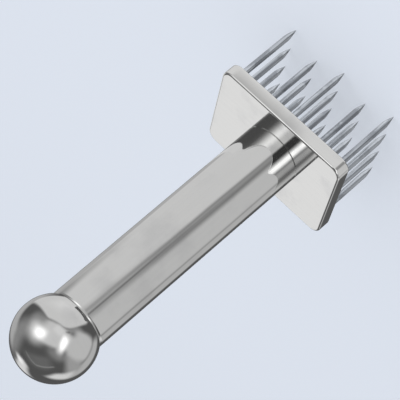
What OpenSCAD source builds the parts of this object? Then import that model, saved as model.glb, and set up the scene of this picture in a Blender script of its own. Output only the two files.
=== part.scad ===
// Needle meat tenderizer. A ball-ended tube handle stands square on a polished
// plate, and eighteen pointed needles are pressed into the plate's front face.
// Z = 0 is the plane of the needle points, and +Z runs up the handle to the ball.

/* [Needle plate] */
// Length of the plate, along X
plate_l = 59; // [58:0.5:70]
// Width of the plate, along Y
plate_w = 48.5; // [47:0.5:60]
// Thickness of the plate
plate_t = 6; // [5.5:0.5:10]
// Radius of the four corners, seen from above
corner_r = 4.5; // [3:0.5:6]
// Radius that polishing leaves along every edge
edge_r = 0.8; // [0.3:0.1:1.5]

/* [Needles] */
// Diameter of a needle
needle_d = 2.5; // [2:0.1:3]
// Length that stands out of the plate
needle_out = 29.5; // [20:0.5:45]
// Depth of the blind bore that holds a needle
needle_in = 4.5; // [3:0.5:5]
// Length of the ground point
point_l = 5.2; // [3:0.1:9]
// How full the point's curve is: 1 is a plain cone
point_curve = 1.3; // [1:0.05:2]
// Step from one column to the next, along X
col_pitch = 12.5; // [10:0.1:13]
// Step from one needle to the next in a column, along Y
row_pitch = 13; // [10:0.1:13.5]

/* [Handle] */
// Outer diameter of the tube
tube_d = 25; // [20:0.5:28]
// Wall of the tube
tube_wall = 1.5; // [1:0.1:2.5]
// Diameter of the ball
ball_d = 32; // [30:0.5:40]
// Height of the ball's centre above the plate's back face
ball_rise = 111; // [90:0.5:140]
// Chamfer round the tube's end at the ball
knob_groove = 0.4; // [0.2:0.1:0.6]
// Chamfer round the tube's end at the plate
foot_groove = 0.3; // [0.2:0.1:0.6]

/* [Inner fixings] */
// Diameter of both threaded studs
stud_d = 8; // [5:1:8]
// Length of a plug
plug_l = 14; // [10:1:20]
// Gap that keeps a plug's face off the piece that it draws up
plug_gap = 0.4; // [0.2:0.1:0.8]
// Depth of the thread in the ball
knob_thread = 12; // [8:1:14]
// Depth of the thread in the plate
plate_thread = 4.5; // [3:0.5:5]
// Width across the flats of a stud's hexagon socket
socket_af = 4; // [2:0.5:4]
// Depth of that socket
socket_depth = 4; // [2:0.5:5]

/* [Hidden] */
$fn = 64;
COLUMNS = "abcde";
LONG_COLUMN = 4;
POINT_STEPS = 6;
POINT_FLAT = 0.12;
NEEDLE_LEAD = 0.3;
MOUTH_BREAK = 0.25;
STUD_CHAMFER = 0.8;
PLUG_CHAMFER = 0.5;
DRILL_HALF_ANGLE = 59;
SEAT_STEP = 0.4;
CUT = 1;

front_z = needle_out;
back_z = front_z + plate_t;
ball_z = back_z + ball_rise;
tube_r = tube_d / 2;
bore_r = tube_r - tube_wall;
ball_r = ball_d / 2;
seat_r = tube_r - SEAT_STEP;
seat_z = ball_z - sqrt(ball_r * ball_r - seat_r * seat_r);
stud_r = stud_d / 2;
needle_r = needle_d / 2;
needle_l = needle_out + needle_in;
upper_plug_z = seat_z - plug_gap - plug_l;
lower_plug_z = back_z + plug_gap;
last_column = len(COLUMNS) - 1;

// Even columns hold a full row of needles, and odd ones hold one less, half a step off.
function needles_in(column) = LONG_COLUMN - column % 2;
function column_x(column) = (column - last_column / 2) * col_pitch;
function needle_y(column, row) = (row - (needles_in(column) - 1) / 2) * row_pitch;
function needle_name(column, row) = str("needle_", COLUMNS[column], row + 1);

// The point's outline, from its small flat end to the full diameter.
function point_radius(share) = needle_r - (needle_r - POINT_FLAT) * pow(1 - share, point_curve);
point_outline = [
    for (step = [0 : POINT_STEPS])
        [point_radius(step / POINT_STEPS), point_l * step / POINT_STEPS]
];

needle_names = [
    for (column = [0 : last_column], row = [0 : needles_in(column) - 1])
        needle_name(column, row)
];

// A bar's cross section, width by height, with its four corners rounded.
module bar_section(width, height, radius) {
    translate([-width / 2, radius])
        square([width, height - 2 * radius]);
    translate([radius - width / 2, 0])
        square([width - 2 * radius, height]);
    for (x = [radius - width / 2, width / 2 - radius], y = [radius, height - radius])
        translate([x, y])
            circle(r = radius);
}

// A round post with the same rounded edge as the bars.
module corner_post(post_r, height, radius) {
    rotate_extrude()
        intersection() {
            bar_section(2 * post_r, height, radius);
            square([post_r, height]);
        }
}

// A slab with round corners and rounded edges, standing on Z = 0.
module rounded_slab(length, width, height, post_r, radius) {
    straight_l = length - 2 * post_r;
    straight_w = width - 2 * post_r;
    rotate([90, 0, 90])
        translate([0, 0, -straight_l / 2])
            linear_extrude(straight_l)
                bar_section(width, height, radius);
    rotate([90, 0, 0])
        translate([0, 0, -straight_w / 2])
            linear_extrude(straight_w)
                bar_section(length, height, radius);
    for (x = [-1, 1], y = [-1, 1])
        translate([x * straight_l / 2, y * straight_w / 2, 0])
            corner_post(post_r, height, radius);
}

// A rod with both ends chamfered, standing on Z = 0.
module chamfered_rod(radius, length, chamfer) {
    rotate_extrude()
        polygon([
            [0, 0],
            [radius - chamfer, 0],
            [radius, chamfer],
            [radius, length - chamfer],
            [radius - chamfer, length],
            [0, length]
        ]);
}

// A blind needle bore that opens downward at Z = 0, with its mouth broken.
module needle_bore() {
    translate([0, 0, -CUT])
        cylinder(r = needle_r, h = needle_in + CUT);
    translate([0, 0, -CUT])
        cylinder(r1 = needle_r + MOUTH_BREAK + CUT, r2 = needle_r, h = MOUTH_BREAK + CUT);
}

// A threaded stud with a hexagon socket in its lower end.
module stud(length) {
    difference() {
        chamfered_rod(stud_r, length, STUD_CHAMFER);
        translate([0, 0, -CUT])
            cylinder(d = socket_af / cos(30), h = socket_depth + CUT, $fn = 6);
    }
}

// A plug that is pressed into the tube and tapped right through.
module plug() {
    difference() {
        chamfered_rod(bore_r, plug_l, PLUG_CHAMFER);
        translate([0, 0, -CUT])
            cylinder(r = stud_r, h = plug_l + 2 * CUT);
    }
}

// The head: blind bores for the needles in front, and one for the stud behind.
module needle_plate() {
    color("gainsboro")
        difference() {
            translate([0, 0, front_z])
                rounded_slab(plate_l, plate_w, plate_t, corner_r, edge_r);
            for (column = [0 : last_column], row = [0 : needles_in(column) - 1])
                translate([column_x(column), needle_y(column, row), front_z])
                    needle_bore();
            translate([0, 0, back_z - plate_thread])
                cylinder(r = stud_r, h = plate_thread + CUT);
        }
}

// One needle, turned and ground to a slightly full point.
module needle(column, row) {
    color("silver")
        translate([column_x(column), needle_y(column, row), 0])
            rotate_extrude()
                polygon(concat(
                    [[0, 0]],
                    point_outline,
                    [
                        [needle_r, needle_l - NEEDLE_LEAD],
                        [needle_r - NEEDLE_LEAD, needle_l],
                        [0, needle_l]
                    ]
                ));
}

// The handle: one straight tube, chamfered outside at both ends.
module handle_tube() {
    color("lightgray")
        rotate_extrude()
            polygon([
                [bore_r, back_z],
                [tube_r - foot_groove, back_z],
                [tube_r, back_z + foot_groove],
                [tube_r, seat_z - knob_groove],
                [tube_r - knob_groove, seat_z],
                [bore_r, seat_z]
            ]);
}

// The ball, cut flat where it sits on the tube and bored for its stud.
module ball_knob() {
    color("gainsboro")
        difference() {
            translate([0, 0, ball_z])
                sphere(r = ball_r);
            translate([0, 0, seat_z - ball_r])
                cylinder(r = ball_r, h = ball_r);
            translate([0, 0, seat_z - CUT])
                cylinder(r = stud_r, h = knob_thread + CUT);
            translate([0, 0, seat_z + knob_thread])
                cylinder(r1 = stud_r, r2 = 0, h = stud_r / tan(DRILL_HALF_ANGLE));
        }
}

module lower_plug() {
    color("darkgray")
        translate([0, 0, lower_plug_z])
            plug();
}

module upper_plug() {
    color("darkgray")
        translate([0, 0, upper_plug_z])
            plug();
}

// Turned over, so that its socket faces up into the tube.
module head_stud() {
    color("dimgray")
        translate([0, 0, lower_plug_z + plug_l])
            rotate([180, 0, 0])
                stud(plate_thread + plug_gap + plug_l);
}

module knob_stud() {
    color("dimgray")
        translate([0, 0, upper_plug_z])
            stud(plug_l + plug_gap + knob_thread);
}

needle_plate();
handle_tube();
ball_knob();
lower_plug();
head_stud();
upper_plug();
knob_stud();
for (column = [0 : last_column], row = [0 : needles_in(column) - 1])
    needle(column, row);
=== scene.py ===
import bpy
import math
from mathutils import Matrix, Vector


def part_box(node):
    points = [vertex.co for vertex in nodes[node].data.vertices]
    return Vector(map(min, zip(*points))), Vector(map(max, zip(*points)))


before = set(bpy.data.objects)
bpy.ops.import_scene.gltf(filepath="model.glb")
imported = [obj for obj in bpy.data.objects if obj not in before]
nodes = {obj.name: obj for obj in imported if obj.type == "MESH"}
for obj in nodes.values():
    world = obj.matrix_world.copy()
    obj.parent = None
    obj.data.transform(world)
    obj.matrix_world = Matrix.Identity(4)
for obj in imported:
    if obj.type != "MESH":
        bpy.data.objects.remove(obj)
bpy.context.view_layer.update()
scene = bpy.context.scene


# ---- Camera ----
# It looks down on the tool from beside the plate's long face and is rolled over,
# so that the handle lies across the picture and the needles point up and right.
camera_place = Vector((-0.16632, -0.60048, 0.34394))
camera_aim = Vector((0.00877, 0.01588, 0.06209))
camera_roll = math.radians(-130.32)
sensor_width = 36
focal_length = 167.1

camera_data = bpy.data.cameras.new("camera")
camera_data.sensor_width = sensor_width
camera_data.lens = focal_length
camera = bpy.data.objects.new("camera", camera_data)
upright = (camera_aim - camera_place).to_track_quat("-Z", "Y").to_matrix().to_4x4()
camera.matrix_world = (
    Matrix.Translation(camera_place) @ upright @ Matrix.Rotation(camera_roll, 4, "Z")
)
scene.collection.objects.link(camera)
scene.camera = camera


# ---- Floor ----
# A wide sheet of pale matt acrylic, on which the tool stands on its needle points. It glows a
# little to the eye, which keeps the shadow faint. The steel mirrors the cloths in its place.
floor_colour = (0.43, 0.455, 0.497, 1)
floor_roughness = 0.9
glow_colour = (0.72, 0.76, 0.83, 1)
floor_glow = 0.56
floor_size = 6.0


def connect(tree, value, socket):
    """Give a socket either a value of its own or another node's output."""
    if isinstance(value, bpy.types.NodeSocket):
        tree.links.new(value, socket)
    else:
        socket.default_value = value


def maths(tree, operation, *values):
    """One Math node, fed with numbers or other nodes' outputs."""
    node = tree.nodes.new("ShaderNodeMath")
    node.operation = operation
    for value, socket in zip(values, node.inputs):
        connect(tree, value, socket)
    return node.outputs[0]


half = floor_size / 2
floor_mesh = bpy.data.meshes.new("floor")
floor_mesh.from_pydata(
    [(-half, -half, 0), (half, -half, 0), (half, half, 0), (-half, half, 0)], [], [(0, 1, 2, 3)]
)
floor = bpy.data.objects.new("floor", floor_mesh)
scene.collection.objects.link(floor)
acrylic = bpy.data.materials.new("pale_acrylic")
acrylic.use_nodes = True
acrylic_tree = acrylic.node_tree
acrylic_shader = acrylic_tree.nodes["Principled BSDF"]
acrylic_shader.inputs["Base Color"].default_value = floor_colour
acrylic_shader.inputs["Roughness"].default_value = floor_roughness
acrylic_shader.inputs["Emission Color"].default_value = glow_colour
ray = acrylic_tree.nodes.new("ShaderNodeLightPath").outputs
mirrored_floor = maths(acrylic_tree, "MAXIMUM", ray["Is Glossy Ray"], ray["Is Transmission Ray"])
seen_floor = maths(acrylic_tree, "MAXIMUM", ray["Is Camera Ray"], mirrored_floor)
glow = maths(acrylic_tree, "MULTIPLY", seen_floor, floor_glow)
connect(acrylic_tree, glow, acrylic_shader.inputs["Emission Strength"])
floor_mesh.materials.append(acrylic)
floor.visible_glossy = False


# ---- Studio ----
# Pale cloths hang round and under the tool with dark gaps between them, and two soft boxes
# shine through. Polished steel shows them. All else gets the even light of the pale room.
room_colour = (0.80, 0.83, 0.88, 1)
even_strength = 0.74
gap_brightness = 0.10
# Brightness, softness of the edge, and corners as (bearing from +X, height), all in degrees.
# A later cloth hangs in front of an earlier one.
cloths = {
    "front_fill": (0.30, 8, [(212, -16), (258, -10), (246, -46), (212, -52)]),
    "left_wall": (0.52, 6, [(117, -48), (118, 10), (149, 12), (149, -50)]),
    "left_high_wall": (0.40, 9, [(138, -10), (138, 16), (206, 18), (206, -10)]),
    "left_haze": (0.30, 14, [(186, 30), (236, 52), (250, 42), (192, 14)]),
    "front_left_wall": (0.60, 8, [
        (153, -49), (151, 2), (190, 10), (232, 30), (250, -14), (206, -52),
    ]),
    "front_wall": (0.67, 9, [
        (250, -25), (229, 10), (229, 34), (262, 46), (320, 44), (345, 6), (288, -13),
    ]),
    "front_haze": (0.30, 14, [(300, 14), (346, 10), (344, -6), (302, -10)]),
    "right_wall": (0.29, 14, [(330, 8), (330, 38), (50, 44), (62, 8)]),
    "right_low_wall": (0.48, 8, [(24, -34), (22, 22), (52, 22), (60, -30)]),
    "table": (0.70, 4, [
        (25, -17), (340, -15), (308, -7), (261, -19), (249, -28), (236, -46), (212, -66),
        (150, -74), (48, -62), (38, -30),
    ]),
    "table_glow": (0.84, 20, [(350, -36), (300, -44), (300, -74), (20, -70)]),
    "front_patch": (0.78, 7, [(250, 6), (276, 6), (276, -13), (250, -13)]),
    "front_shade": (0.21, 9, [(245, -13), (229, -17), (223, -32), (240, -34)]),
    "front_line": (0.08, 3, [(250, -14), (244, -13), (239, -21), (243, -23)]),
    "back_strip": (0.80, 5, [(67, 6), (62, 30), (54, 44), (62, 53), (82, 50), (83, 10)]),
    "back_glow": (1.20, 6, [(56, 33), (53, 45), (70, 48), (72, 35)]),
    "back_patch": (0.80, 7, [(120, 2), (116, 36), (142, 34), (144, 4)]),
    "front_glow": (0.80, 19, [(272, 16), (270, 49), (335, 48), (332, 14)]),
    "front_soft_box": (1.9, 12, [(281, 38), (310, 40), (314, 23), (283, 21)]),
    "left_glow": (0.80, 9, [(206, 28), (227, 33), (252, -12), (230, -18)]),
    "left_soft_box": (1.8, 8, [(216, 21), (230, 20), (244, -4), (229, -6)]),
    "low_haze": (0.16, 12, [(20, 62), (110, 62), (160, 46), (210, 52), (240, 74), (340, 80)]),
    "low_line": (0.26, 2, [(20, 71), (117, 71), (117, 67), (20, 68)]),
    "low_line_end": (0.26, 2, [(117, 71), (170, 46), (167, 42), (117, 67)]),
}

world = bpy.data.worlds.new("studio")
scene.world = world
world.use_nodes = True
studio = world.node_tree
studio.nodes.clear()
sight = studio.nodes.new("ShaderNodeTexCoord")


def smooth_step(tree, value, low, high):
    """0 where the value is at low, rising smoothly to 1 where it is at high."""
    node = tree.nodes.new("ShaderNodeMapRange")
    node.interpolation_type = "SMOOTHSTEP"
    connect(tree, value, node.inputs["Value"])
    node.inputs["From Min"].default_value = low
    node.inputs["From Max"].default_value = high
    return node.outputs["Result"]


def mix_values(tree, factor, first, second):
    """The first value where the factor is 0, the second where it is 1."""
    node = tree.nodes.new("ShaderNodeMix")
    connect(tree, factor, node.inputs["Factor"])
    connect(tree, first, node.inputs["A"])
    connect(tree, second, node.inputs["B"])
    return node.outputs["Result"]


def direction(bearing, height):
    """The way to a bearing from +X and a height over the horizon, both in degrees."""
    bearing = math.radians(bearing)
    height = math.radians(height)
    across = math.cos(height)
    return Vector((math.cos(bearing) * across, math.sin(bearing) * across, math.sin(height)))


def cloth_mask(corners, softness):
    """1 where the line of sight meets the cloth, falling smoothly to 0 across its edges."""
    rim = [direction(*corner) for corner in corners]
    middle = sum(rim, Vector())
    fade = math.sin(math.radians(softness))
    mask = 1.0
    for start, end in zip(rim, rim[1:] + rim[:1]):
        inward = start.cross(end).normalized()
        if inward.dot(middle) < 0:
            inward.negate()
        dot = studio.nodes.new("ShaderNodeVectorMath")
        dot.operation = "DOT_PRODUCT"
        studio.links.new(sight.outputs["Generated"], dot.inputs[0])
        dot.inputs[1].default_value = inward
        inside = smooth_step(studio, dot.outputs["Value"], -fade, fade)
        mask = maths(studio, "MULTIPLY", mask, inside)
    return mask


mirrored = gap_brightness
for brightness, softness, corners in cloths.values():
    mirrored = mix_values(studio, cloth_mask(corners, softness), mirrored, brightness)
path = studio.nodes.new("ShaderNodeLightPath")
even = mix_values(studio, path.outputs["Is Camera Ray"], even_strength, 1.0)
seen_in_steel = maths(
    studio, "MAXIMUM", path.outputs["Is Glossy Ray"], path.outputs["Is Transmission Ray"]
)
even_light = studio.nodes.new("ShaderNodeBackground")
even_light.inputs["Color"].default_value = room_colour
connect(studio, even, even_light.inputs["Strength"])
cloth_light = studio.nodes.new("ShaderNodeBackground")
cloth_light.inputs["Color"].default_value = (1, 1, 1, 1)
connect(studio, mirrored, cloth_light.inputs["Strength"])
either_light = studio.nodes.new("ShaderNodeMixShader")
connect(studio, seen_in_steel, either_light.inputs["Fac"])
studio.links.new(even_light.outputs[0], either_light.inputs[1])
studio.links.new(cloth_light.outputs[0], either_light.inputs[2])
world_output = studio.nodes.new("ShaderNodeOutputWorld")
studio.links.new(either_light.outputs[0], world_output.inputs["Surface"])
scene.view_settings.view_transform = "Standard"


# ---- Strips ----
# Strips of cloth hang close to the tool and show from one side only. The plate throws level
# ones round the handle back onto its foot as stripes. An upright one beside each needle gives
# it a dark side, and two more shade the plate's long edge and light its short one.
strip_cloth = bpy.data.materials.new("strip_cloth")
strip_cloth.use_nodes = True
strip_tree = strip_cloth.node_tree
strip_shader = strip_tree.nodes["Principled BSDF"]
strip_shader.inputs["Base Color"].default_value = (0, 0, 0, 1)
strip_shader.inputs["Specular IOR Level"].default_value = 0
strip_shader.inputs["Emission Color"].default_value = (1, 1, 1, 1)
weave = strip_tree.nodes.new("ShaderNodeAttribute")
weave.attribute_name = "cloth_density"
shine = strip_tree.nodes.new("ShaderNodeAttribute")
shine.attribute_name = "cloth_brightness"
side = strip_tree.nodes.new("ShaderNodeNewGeometry")
one_sided = maths(strip_tree, "MULTIPLY", weave.outputs["Fac"], side.outputs["Backfacing"])
connect(strip_tree, one_sided, strip_shader.inputs["Alpha"])
connect(strip_tree, shine.outputs["Fac"], strip_shader.inputs["Emission Strength"])


def between(ends, part):
    """The value that lies a part of the way from the first of some values to the last."""
    return ends[0] + (ends[-1] - ends[0]) * part


def share(value, start, full, still_full, end):
    """How much of its full density a strip has here: 0 at the rim, 1 in the middle."""
    rise = min(max((value - start) / (full - start), 0), 1)
    fall = min(max((end - value) / (end - still_full), 0), 1)
    return min(rise, fall)


def hang_strip(name, brightness, place, columns, rows):
    """Hang a strip. place(u, v) gives a point and the density there, for u and v from 0 to 1."""
    points = []
    density = []
    for column in range(columns + 1):
        for row in range(rows + 1):
            point, here = place(column / columns, row / rows)
            points.append(point)
            density.append(here)
    faces = []
    for column in range(columns):
        for row in range(rows):
            corner = column * (rows + 1) + row
            faces.append((corner, corner + 1, corner + rows + 2, corner + rows + 1))
    mesh = bpy.data.meshes.new(name)
    mesh.from_pydata(points, [], faces)
    for attribute, values in (
        ("cloth_density", density), ("cloth_brightness", [brightness] * len(points))
    ):
        mesh.attributes.new(attribute, "FLOAT", "POINT").data.foreach_set("value", values)
    mesh.materials.append(strip_cloth)
    strip = bpy.data.objects.new(name, mesh)
    strip.visible_camera = False
    strip.visible_diffuse = False
    strip.visible_shadow = False
    scene.collection.objects.link(strip)


# Where a strip's density starts, is full, starts to end and ends, from the handle outwards.
level_reach = (0.066, 0.078, 0.124, 0.136)
# Brightness, full density, height, and the same four places by bearing.
level_strips = {
    "strip_back_left": (0.24, 0.60, 0.080, (120, 143, 154, 166)),
    "strip_left": (0.56, 0.80, 0.080, (154, 176, 186, 198)),
    "strip_white": (1.55, 1.00, 0.081, (193, 205, 213, 226)),
    "strip_front": (0.02, 0.96, 0.080, (214, 229, 248, 254)),
    "strip_right": (0.07, 0.92, 0.080, (270, 328, 388, 404)),
}
for name, (brightness, full_density, height, bearings) in level_strips.items():

    def place_level(u, v):
        bearing = between(bearings, u)
        distance = between(level_reach, v)
        turn = math.radians(bearing)
        point = (distance * math.cos(turn), distance * math.sin(turn), height)
        return point, full_density * share(bearing, *bearings) * share(distance, *level_reach)

    hang_strip(name, brightness, place_level, columns=48, rows=12)

needle_names = sorted(name for name in nodes if name.startswith("needle_") and name[-1].isdigit())
shade_brightness = 0.10
shade_density = 0.42
shade_distance = 0.0045
shade_bearings = (126, 158, 233, 247)
shade_heights = (0.029, -0.004)
for name in needle_names:
    low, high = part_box(name)
    needle_x = (low[0] + high[0]) / 2
    needle_y = (low[1] + high[1]) / 2

    def place_upright(u, v):
        bearing = between(shade_bearings, u)
        turn = math.radians(bearing)
        x = needle_x + shade_distance * math.cos(turn)
        y = needle_y + shade_distance * math.sin(turn)
        point = (x, y, between(shade_heights, v))
        return point, shade_density * share(bearing, *shade_bearings)

    hang_strip("shade_" + name, shade_brightness, place_upright, columns=24, rows=1)

plate_low, plate_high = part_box("needle_plate")
edge_gap = 0.006
edge_brightness = 0.42
edge_density = 0.95
edge_run = (-0.012, 0.002, 0.024, 0.034)
edge_heights = (0.0322, 0.0272)


def place_edge(u, v):
    x = between(edge_run, u)
    point = (x, plate_low[1] - edge_gap, between(edge_heights, v))
    return point, edge_density * share(x, *edge_run) * (1 - v)


hang_strip("shade_plate_edge", edge_brightness, place_edge, columns=24, rows=6)

end_gap = 0.005
end_brightness = 0.73
end_run = (-0.020, -0.014, 0.038, 0.044)
end_heights = (0.0385, 0.0300)


def place_end(u, v):
    y = between(end_run, u)
    point = (plate_high[0] + end_gap, y, between(end_heights, v))
    return point, share(y, *end_run)


hang_strip("glow_plate_end", end_brightness, place_end, columns=24, rows=1)


# ---- Lamp ----
# One large soft lamp above the front of the tool throws the faint shadow on the floor. The
# steel doesn't show it, but only the two soft boxes among the cloths.
lamp_bearing = 297
lamp_height = 55
lamp_distance = 1.2
lamp_power = 3.0
lamp_size = 1.0

lamp_place = direction(lamp_bearing, lamp_height) * lamp_distance
lamp_data = bpy.data.lights.new("soft_lamp", "AREA")
lamp_data.energy = lamp_power
lamp_data.size = lamp_size
lamp = bpy.data.objects.new("soft_lamp", lamp_data)
lamp.location = lamp_place
lamp.rotation_mode = "QUATERNION"
lamp.rotation_quaternion = (-lamp_place).to_track_quat("-Z", "Y")
lamp.visible_glossy = False
scene.collection.objects.link(lamp)


# ---- Needles ----
# Eighteen needles of round stainless rod, pressed into blind bores of the plate. Each is ground
# lengthwise, shank and long curved point alike, which leaves it finely streaked along.
def shader_group(name, numbers, vectors, results):
    """A node group with named inputs. Gives its tree, what is put in and where results go."""
    tree = bpy.data.node_groups.new(name, "ShaderNodeTree")
    for socket in vectors:
        tree.interface.new_socket(socket, in_out="INPUT", socket_type="NodeSocketVector")
    for socket in numbers:
        tree.interface.new_socket(socket, in_out="INPUT", socket_type="NodeSocketFloat")
    for socket in results:
        tree.interface.new_socket(socket, in_out="OUTPUT", socket_type="NodeSocketFloat")
    given = tree.nodes.new("NodeGroupInput").outputs
    return tree, given, tree.nodes.new("NodeGroupOutput").inputs


def noise(tree, place, scale, detail):
    """Smooth noise from 0 to 1 with so many changes per metre, alike in all directions."""
    node = tree.nodes.new("ShaderNodeTexNoise")
    connect(tree, place, node.inputs["Vector"])
    connect(tree, scale, node.inputs["Scale"])
    node.inputs["Detail"].default_value = detail
    return node.outputs["Fac"]


def drawn_noise(tree, place, scales, detail):
    """The same noise with its own changes per metre along X, Y and Z, which draws it out."""
    product = tree.nodes.new("ShaderNodeVectorMath")
    product.operation = "MULTIPLY"
    connect(tree, place, product.inputs[0])
    connect(tree, scales, product.inputs[1])
    return noise(tree, product.outputs["Vector"], scale=1.0, detail=detail)


# What polishing leaves: hairlines and wider streaks, both drawn out along the wheel's way,
# over a slow waviness of the whole surface.
streak_start = 0.36
streak_full = 0.68
polish, given, result = shader_group(
    "polish_marks", ["Line Depth", "Waves per Metre", "Wave Depth"],
    ["Place", "Lines per Metre", "Streaks per Metre"], ["Height", "Streak"],
)
lines = drawn_noise(polish, given["Place"], given["Lines per Metre"], detail=3)
waves = noise(polish, given["Place"], given["Waves per Metre"], detail=1)
line_height = maths(polish, "MULTIPLY", lines, given["Line Depth"])
wave_height = maths(polish, "MULTIPLY", waves, given["Wave Depth"])
connect(polish, maths(polish, "ADD", line_height, wave_height), result["Height"])
streaks = drawn_noise(polish, given["Place"], given["Streaks per Metre"], detail=2)
connect(polish, smooth_step(polish, streaks, streak_start, streak_full), result["Streak"])

# Marks of handling: soft dull patches, and sparse hairline scratches in two directions, given
# by how often they change per metre along X, Y and Z.
patch_start = 0.50
patch_full = 0.70
scratch_start = 0.72
scratch_full = 0.80
scratch_roughness = 0.08
scratch_ways = ((220, 9000, 5200), (5200, 180, 2600))
handling, given, result = shader_group(
    "handling_marks", ["Patches per Metre", "Clean Roughness", "Dull Roughness"], ["Place"],
    ["Roughness", "Dull", "Scratch"],
)
patches = noise(handling, given["Place"], given["Patches per Metre"], detail=4)
dull = smooth_step(handling, patches, patch_start, patch_full)
connect(handling, dull, result["Dull"])
scratch = 0.0
for scratch_way in scratch_ways:
    hairs = drawn_noise(handling, given["Place"], scratch_way, detail=1)
    hairs = smooth_step(handling, hairs, scratch_start, scratch_full)
    scratch = maths(handling, "MAXIMUM", scratch, hairs)
connect(handling, scratch, result["Scratch"])
rough = mix_values(handling, dull, given["Clean Roughness"], given["Dull Roughness"])
scratched = maths(handling, "MULTIPLY", scratch, scratch_roughness)
connect(handling, maths(handling, "ADD", rough, scratched), result["Roughness"])

# Edges rubbed bright: 1 where the surface turns within the given radius, 0 on open faces. The
# turn is told by how alike the surface and its rounded copy face.
open_likeness = 0.999
edge_likeness = 0.90
rubbing, given, result = shader_group("edge_wear", ["Radius"], [], ["Edge"])
rounded = rubbing.nodes.new("ShaderNodeBevel")
connect(rubbing, given["Radius"], rounded.inputs["Radius"])
surface = rubbing.nodes.new("ShaderNodeNewGeometry")
likeness = rubbing.nodes.new("ShaderNodeVectorMath")
likeness.operation = "DOT_PRODUCT"
connect(rubbing, rounded.outputs["Normal"], likeness.inputs[0])
connect(rubbing, surface.outputs["Normal"], likeness.inputs[1])
edge = smooth_step(rubbing, likeness.outputs["Value"], open_likeness, edge_likeness)
connect(rubbing, edge, result["Edge"])


def place_group(tree, group, settings):
    """Place a node group in a material, with its values by name."""
    node = tree.nodes.new("ShaderNodeGroup")
    node.node_tree = group
    for socket, value in settings.items():
        connect(tree, value, node.inputs[socket])
    return node.outputs


def mix_colours(tree, factor, first, second):
    """The first colour where the factor is 0, the second where it is 1."""
    node = tree.nodes.new("ShaderNodeMix")
    node.data_type = "RGBA"
    connect(tree, factor, node.inputs["Factor"])
    connect(tree, first, node.inputs["A"])
    connect(tree, second, node.inputs["B"])
    return node.outputs["Result"]


scratch_depth = 0.000001
edge_gain = 1.08
edge_share = 0.8
edge_roughness = 0.04
streak_roughness = 0.03


def steel(name, clean, dull, roughness, patches, lines, line_depth, streaks, streak_share,
          waves, wave_depth, edge_radius):
    """Bare steel with the marks of polishing and handling, brighter on its rubbed edges.

    Depths and the radius are in metres. Patches, lines, streaks and waves are counts per metre,
    those with three numbers along X, Y and Z.
    """
    material = bpy.data.materials.new(name)
    material.use_nodes = True
    tree = material.node_tree
    shader = tree.nodes["Principled BSDF"]
    shader.inputs["Metallic"].default_value = 1
    place = tree.nodes.new("ShaderNodeTexCoord").outputs["Object"]
    polished = place_group(tree, polish, {
        "Place": place, "Lines per Metre": lines, "Line Depth": line_depth,
        "Streaks per Metre": streaks, "Waves per Metre": waves, "Wave Depth": wave_depth,
    })
    handled = place_group(tree, handling, {
        "Place": place, "Patches per Metre": patches,
        "Clean Roughness": roughness[0], "Dull Roughness": roughness[1],
    })
    rubbed = place_group(tree, rubbing, {"Radius": edge_radius})
    streak = maths(tree, "MULTIPLY", polished["Streak"], streak_share)
    spent = maths(tree, "MINIMUM", maths(tree, "ADD", handled["Dull"], streak), 1.0)
    shade = mix_colours(tree, spent, (*clean, 1), (*dull, 1))
    bright = tuple(min(level * edge_gain, 1) for level in clean)
    worn = maths(tree, "MULTIPLY", rubbed["Edge"], edge_share)
    connect(tree, mix_colours(tree, worn, shade, (*bright, 1)), shader.inputs["Base Color"])
    streak_blur = maths(tree, "MULTIPLY", streak, streak_roughness)
    edge_blur = maths(tree, "MULTIPLY", rubbed["Edge"], edge_roughness)
    blur = maths(tree, "ADD", edge_blur, streak_blur)
    connect(tree, maths(tree, "ADD", handled["Roughness"], blur), shader.inputs["Roughness"])
    relief = tree.nodes.new("ShaderNodeBump")
    relief.inputs["Distance"].default_value = 1.0  # heights are in metres
    cut = maths(tree, "MULTIPLY", handled["Scratch"], -scratch_depth)
    connect(tree, maths(tree, "ADD", polished["Height"], cut), relief.inputs["Height"])
    connect(tree, relief.outputs["Normal"], shader.inputs["Normal"])
    return material


def dress(name, material):
    """Give a piece its finish."""
    mesh = nodes[name].data
    mesh.materials.clear()
    mesh.materials.append(material)


ground_steel = steel(
    "ground_steel", clean=(0.77, 0.82, 0.89), dull=(0.42, 0.45, 0.50),
    roughness=(0.12, 0.22), patches=120, lines=(7000, 7000, 90), line_depth=0.0000016,
    streaks=(1150, 1150, 40), streak_share=0.85, waves=300, wave_depth=0.000004,
    edge_radius=0.0002,
)
for name in needle_names:
    dress(name, ground_steel)


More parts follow.
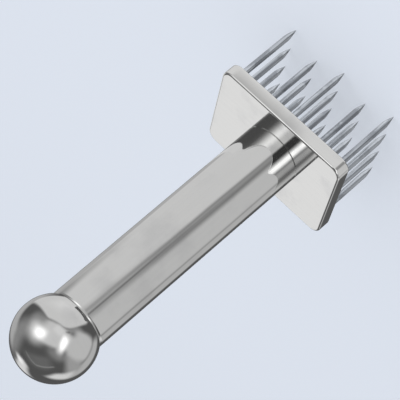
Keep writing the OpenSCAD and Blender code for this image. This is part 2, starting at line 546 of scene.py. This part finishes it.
# ---- Needle plate ----
# A slab of stainless steel with rounded corners and eased edges, drilled from below for the
# needles and tapped in the middle for the stud of the handle. It is buffed along its length.
plate_steel = steel(
    "plate_steel", clean=(0.87, 0.87, 0.862), dull=(0.79, 0.79, 0.79),
    roughness=(0.045, 0.10), patches=60, lines=(60, 5200, 5200), line_depth=0.0000005,
    streaks=(16, 1300, 1300), streak_share=0.18, waves=45, wave_depth=0.00003,
    edge_radius=0.0007,
)
dress("needle_plate", plate_steel)


# ---- Foot stud and lower plug ----
# Inside the handle's foot a turned steel plug is held by a socket-head stud, which is screwed
# down into the plate. Neither shows once the handle is on.
inner_steel = steel(
    "inner_steel", clean=(0.58, 0.58, 0.58), dull=(0.48, 0.48, 0.48),
    roughness=(0.22, 0.36), patches=120, lines=(80, 80, 5200), line_depth=0.000003,
    streaks=(40, 40, 1400), streak_share=0.4, waves=60, wave_depth=0.00001,
    edge_radius=0.0005,
)
for name in ("head_stud", "lower_plug"):
    dress(name, inner_steel)


# ---- Handle tube ----
# A length of drawn stainless tube, pressed over a plug at each end. It is polished lengthwise,
# so the faint lines run along it, and its long reflections waver a little.
tube_steel = steel(
    "tube_steel", clean=(0.765, 0.765, 0.76), dull=(0.70, 0.70, 0.70),
    roughness=(0.045, 0.10), patches=52, lines=(5200, 5200, 40), line_depth=0.0000004,
    streaks=(900, 900, 12), streak_share=0.15, waves=34, wave_depth=0.00020,
    edge_radius=0.0003,
)
dress("handle_tube", tube_steel)


# ---- Upper plug and knob stud ----
# The same turned plug closes the upper end of the tube, and a short stud screwed into it
# carries the ball. Neither shows once the ball is on.
for name in ("upper_plug", "knob_stud"):
    dress(name, inner_steel)


# ---- Ball knob ----
# A solid stainless ball, turned and mirror polished, with a flat seat and a tapped bore where
# it meets the handle. It is screwed down onto the stud.
ball_steel = steel(
    "ball_steel", clean=(0.765, 0.765, 0.76), dull=(0.69, 0.69, 0.69),
    roughness=(0.055, 0.12), patches=75, lines=(60, 60, 4200), line_depth=0.0000004,
    streaks=(30, 30, 1100), streak_share=0.15, waves=60, wave_depth=0.00006,
    edge_radius=0.0004,
)
dress("ball_knob", ball_steel)
